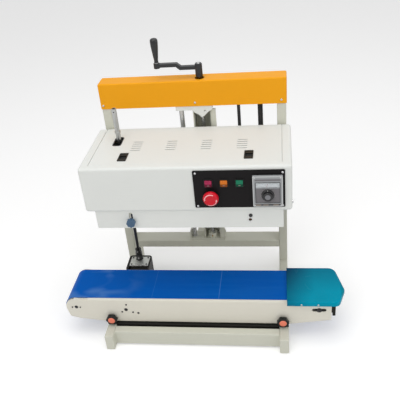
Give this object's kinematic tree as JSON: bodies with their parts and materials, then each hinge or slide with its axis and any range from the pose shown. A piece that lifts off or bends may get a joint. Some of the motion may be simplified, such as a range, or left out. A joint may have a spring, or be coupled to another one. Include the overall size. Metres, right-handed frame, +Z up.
{
  "type": "vertical band sealer",
  "caption": "Table-top continuous band sealer for upright bags: a belt conveyor under a crank-lifted sealing head with paired bands, a panel and an outlet tray.",
  "frame": {"origin": "on the floor, under the middle of the bounding box", "axes": "+X along the conveyor to the outlet tray, +Y from the control panel back to the columns, +Z up"},
  "size_m": [0.7774, 0.437, 0.7692],
  "materials": {
    "aluminium": "machined",
    "black_paint": "satin",
    "black_plastic": "moulded",
    "black_rubber": "matte",
    "blue_belt": "smooth",
    "blue_plastic": "moulded",
    "bright_steel": "ground",
    "dark_steel": "blackened",
    "frame_paint": "semi-gloss",
    "gear_plastic": "moulded",
    "grey_plastic": "moulded",
    "head_paint": "semi-gloss",
    "lens_green": "gloss",
    "lens_orange": "gloss",
    "lens_red": "gloss",
    "orange_paint": "semi-gloss",
    "red_rubber": "matte",
    "seal_band": "woven coat",
    "stop_red": "gloss",
    "teal_film": "gloss",
    "zinc_steel": "zinc plated"
  },
  "bodies": {
    "frame": {"left_foot": "frame_paint", "right_foot": "frame_paint", "base_beam": "frame_paint", "left_column": "frame_paint", "right_column": "frame_paint", "rear_crossbeam": "frame_paint", "top_crossbeam": "frame_paint", "top_cover": "orange_paint", "mast_channel": "frame_paint", "top_bearing_plate": "head_paint", "guide_rod": "bright_steel", "lower_bearing_block": "zinc_steel", "conveyor_base_plate": "black_paint", "conveyor_frame": "frame_paint", "conveyor_belt": "blue_belt", "gearbox_housing": "black_paint", "gearbox_lid": "zinc_steel", "outlet_tray": "teal_film", "tension_yoke": "black_paint", "head_cable": "black_rubber", "head_conduit": "black_rubber"},
    "head": {"head_shell": "head_paint", "mechanism_plate": "frame_paint", "front_guard": "head_paint", "control_panel": "black_plastic", "temperature_controller": "grey_plastic", "lift_carriage": "frame_paint", "motor": "black_paint", "front_seal_bar": "aluminium", "rear_seal_bar": "aluminium", "front_band": "seal_band", "rear_band": "seal_band", "timing_belt": "black_rubber"},
    "crank": {"lead_screw": "zinc_steel", "crank_arm": "black_paint"},
    "handle": {"crank_handle": "black_plastic"},
    "lid": {"head_lid": "head_paint"},
    "left_latch": {"left_latch": "black_plastic"},
    "right_latch": {"right_latch": "black_plastic"},
    "rear_drive": {"rear_drive_wheel": "red_rubber"},
    "front_drive": {"front_drive_wheel": "red_rubber"},
    "rear_idler": {"rear_idler_wheel": "red_rubber"},
    "front_idler": {"front_idler_wheel": "red_rubber"},
    "rear_press": {"rear_press_wheel": "dark_steel"},
    "front_press": {"front_press_wheel": "dark_steel"},
    "motor_output": {"motor_pinion": "gear_plastic"},
    "sleeve": {"shaft_sleeve": "zinc_steel"},
    "shaft": {"drive_shaft": "dark_steel"},
    "drive_roll": {"drive_roller": "black_rubber"},
    "left_roll": {"left_end_roller": "aluminium"},
    "right_roll": {"right_end_roller": "aluminium"},
    "snub_roll": {"snub_roller": "aluminium"},
    "left_star": {"left_star_knob": "black_plastic"},
    "right_star": {"right_star_knob": "black_plastic"},
    "guard_nut": {"guard_knob": "blue_plastic"},
    "dial": {"controller_dial": "black_plastic"},
    "stop": {"estop_button": "stop_red"},
    "red": {"red_button": "lens_red"},
    "orange": {"orange_button": "lens_orange"},
    "green": {"green_button": "lens_green"}
  },
  "joints": [
    {"name": "crank_turn", "type": "hinge", "parent": "frame", "child": "crank", "pos_m": [0.00695, 0.1505, 0.6], "axis": [0, 0, 1], "range_deg": [-3240, 7200]},
    {"name": "head_lift", "type": "slide", "parent": "frame", "child": "head", "axis": [0, 0, 1], "range_m": [-0.1001, 0.0451], "deforming": ["head_cable", "head_conduit"]},
    {"name": "handle_spin", "type": "hinge", "parent": "crank", "child": "handle", "pos_m": [-0.10605, 0.1505, 0.7], "axis": [0, 0, 1], "continuous": true},
    {"name": "lid_hinge", "type": "hinge", "parent": "head", "child": "lid", "pos_m": [-0.01705, 0.1205, 0.525], "axis": [-1, 0, 0], "range_deg": [0, 38]},
    {"name": "left_latch_slide", "type": "slide", "parent": "lid", "child": "left_latch", "axis": [0, 1, 0], "range_m": [0, 0.006], "stiffness_N_per_m": 200},
    {"name": "right_latch_slide", "type": "slide", "parent": "lid", "child": "right_latch", "axis": [0, 1, 0], "range_m": [0, 0.006], "stiffness_N_per_m": 200},
    {"name": "rear_drive_spin", "type": "hinge", "parent": "head", "child": "rear_drive", "pos_m": [0.17795, -0.0221, 0.358], "axis": [0, 0, 1], "continuous": true},
    {"name": "front_drive_spin", "type": "hinge", "parent": "head", "child": "front_drive", "pos_m": [0.17795, -0.0729, 0.358], "axis": [0, 0, 1], "continuous": true},
    {"name": "rear_idler_spin", "type": "hinge", "parent": "head", "child": "rear_idler", "pos_m": [-0.21205, -0.0221, 0.358], "axis": [0, 0, 1], "continuous": true},
    {"name": "front_idler_spin", "type": "hinge", "parent": "head", "child": "front_idler", "pos_m": [-0.21205, -0.0729, 0.358], "axis": [0, 0, 1], "continuous": true},
    {"name": "rear_press_spin", "type": "hinge", "parent": "head", "child": "rear_press", "pos_m": [0.12295, -0.0321, 0.358], "axis": [0, 0, 1], "continuous": true},
    {"name": "front_press_spin", "type": "hinge", "parent": "head", "child": "front_press", "pos_m": [0.12295, -0.0629, 0.358], "axis": [0, 0, 1], "continuous": true},
    {"name": "motor_spin", "type": "hinge", "parent": "head", "child": "motor_output", "pos_m": [0.17795, 0.016, 0.38], "axis": [0, 0, 1], "continuous": true},
    {"name": "sleeve_spin", "type": "hinge", "parent": "head", "child": "sleeve", "pos_m": [-0.21405, 0.0485, 0.45], "axis": [0, 0, 1], "continuous": true},
    {"name": "shaft_spin", "type": "hinge", "parent": "frame", "child": "shaft", "pos_m": [-0.21405, 0.0485, 0.3], "axis": [0, 0, 1], "continuous": true},
    {"name": "drive_roller_spin", "type": "hinge", "parent": "frame", "child": "drive_roll", "pos_m": [-0.21405, -0.0945, 0.1], "axis": [0, 1, 0], "continuous": true},
    {"name": "left_roller_spin", "type": "hinge", "parent": "frame", "child": "left_roll", "pos_m": [-0.35755, -0.0945, 0.1076], "axis": [0, 1, 0], "continuous": true},
    {"name": "right_roller_spin", "type": "hinge", "parent": "frame", "child": "right_roll", "pos_m": [0.31945, -0.0945, 0.1076], "axis": [0, 1, 0], "continuous": true},
    {"name": "snub_roller_spin", "type": "hinge", "parent": "frame", "child": "snub_roll", "pos_m": [-0.18005, -0.0945, 0.088], "axis": [0, 1, 0], "continuous": true},
    {"name": "left_star_turn", "type": "hinge", "parent": "frame", "child": "left_star", "pos_m": [-0.25705, -0.1615, 0.072], "axis": [0, 1, 0], "continuous": true},
    {"name": "right_star_turn", "type": "hinge", "parent": "frame", "child": "right_star", "pos_m": [0.22295, -0.1615, 0.072], "axis": [0, 1, 0], "continuous": true},
    {"name": "guard_knob_turn", "type": "hinge", "parent": "head", "child": "guard_nut", "pos_m": [-0.17005, -0.1115, 0.3633], "axis": [0, 1, 0], "continuous": true},
    {"name": "dial_turn", "type": "hinge", "parent": "head", "child": "dial", "pos_m": [0.18995, -0.1115, 0.4485], "axis": [0, 1, 0], "range_deg": [-150, 150]},
    {"name": "stop_press", "type": "slide", "parent": "head", "child": "stop", "axis": [0, 1, 0], "range_m": [0, 0.005], "stiffness_N_per_m": 800},
    {"name": "red_press", "type": "slide", "parent": "head", "child": "red", "axis": [0, 1, 0], "range_m": [0, 0.002], "stiffness_N_per_m": 400},
    {"name": "orange_press", "type": "slide", "parent": "head", "child": "orange", "axis": [0, 1, 0], "range_m": [0, 0.002], "stiffness_N_per_m": 400},
    {"name": "green_press", "type": "slide", "parent": "head", "child": "green", "axis": [0, 1, 0], "range_m": [0, 0.002], "stiffness_N_per_m": 400}
  ],
  "couplings": [
    {"joint": "head_lift", "follows": "crank_turn", "m_per_rad": -0.00079577},
    {"joint": "front_drive_spin", "follows": "rear_drive_spin", "ratio": -1},
    {"joint": "rear_idler_spin", "follows": "rear_drive_spin", "ratio": 1},
    {"joint": "front_idler_spin", "follows": "rear_drive_spin", "ratio": -1},
    {"joint": "rear_press_spin", "follows": "rear_drive_spin", "ratio": 1.7143},
    {"joint": "front_press_spin", "follows": "rear_drive_spin", "ratio": -1.7143},
    {"joint": "motor_spin", "follows": "rear_drive_spin", "ratio": -2},
    {"joint": "sleeve_spin", "follows": "rear_drive_spin", "ratio": -1.2},
    {"joint": "shaft_spin", "follows": "rear_drive_spin", "ratio": -1.2},
    {"joint": "drive_roller_spin", "follows": "rear_drive_spin", "ratio": -1.2},
    {"joint": "left_roller_spin", "follows": "rear_drive_spin", "ratio": 0.81356},
    {"joint": "right_roller_spin", "follows": "rear_drive_spin", "ratio": 0.81356},
    {"joint": "snub_roller_spin", "follows": "rear_drive_spin", "ratio": 2.4}
  ]
}
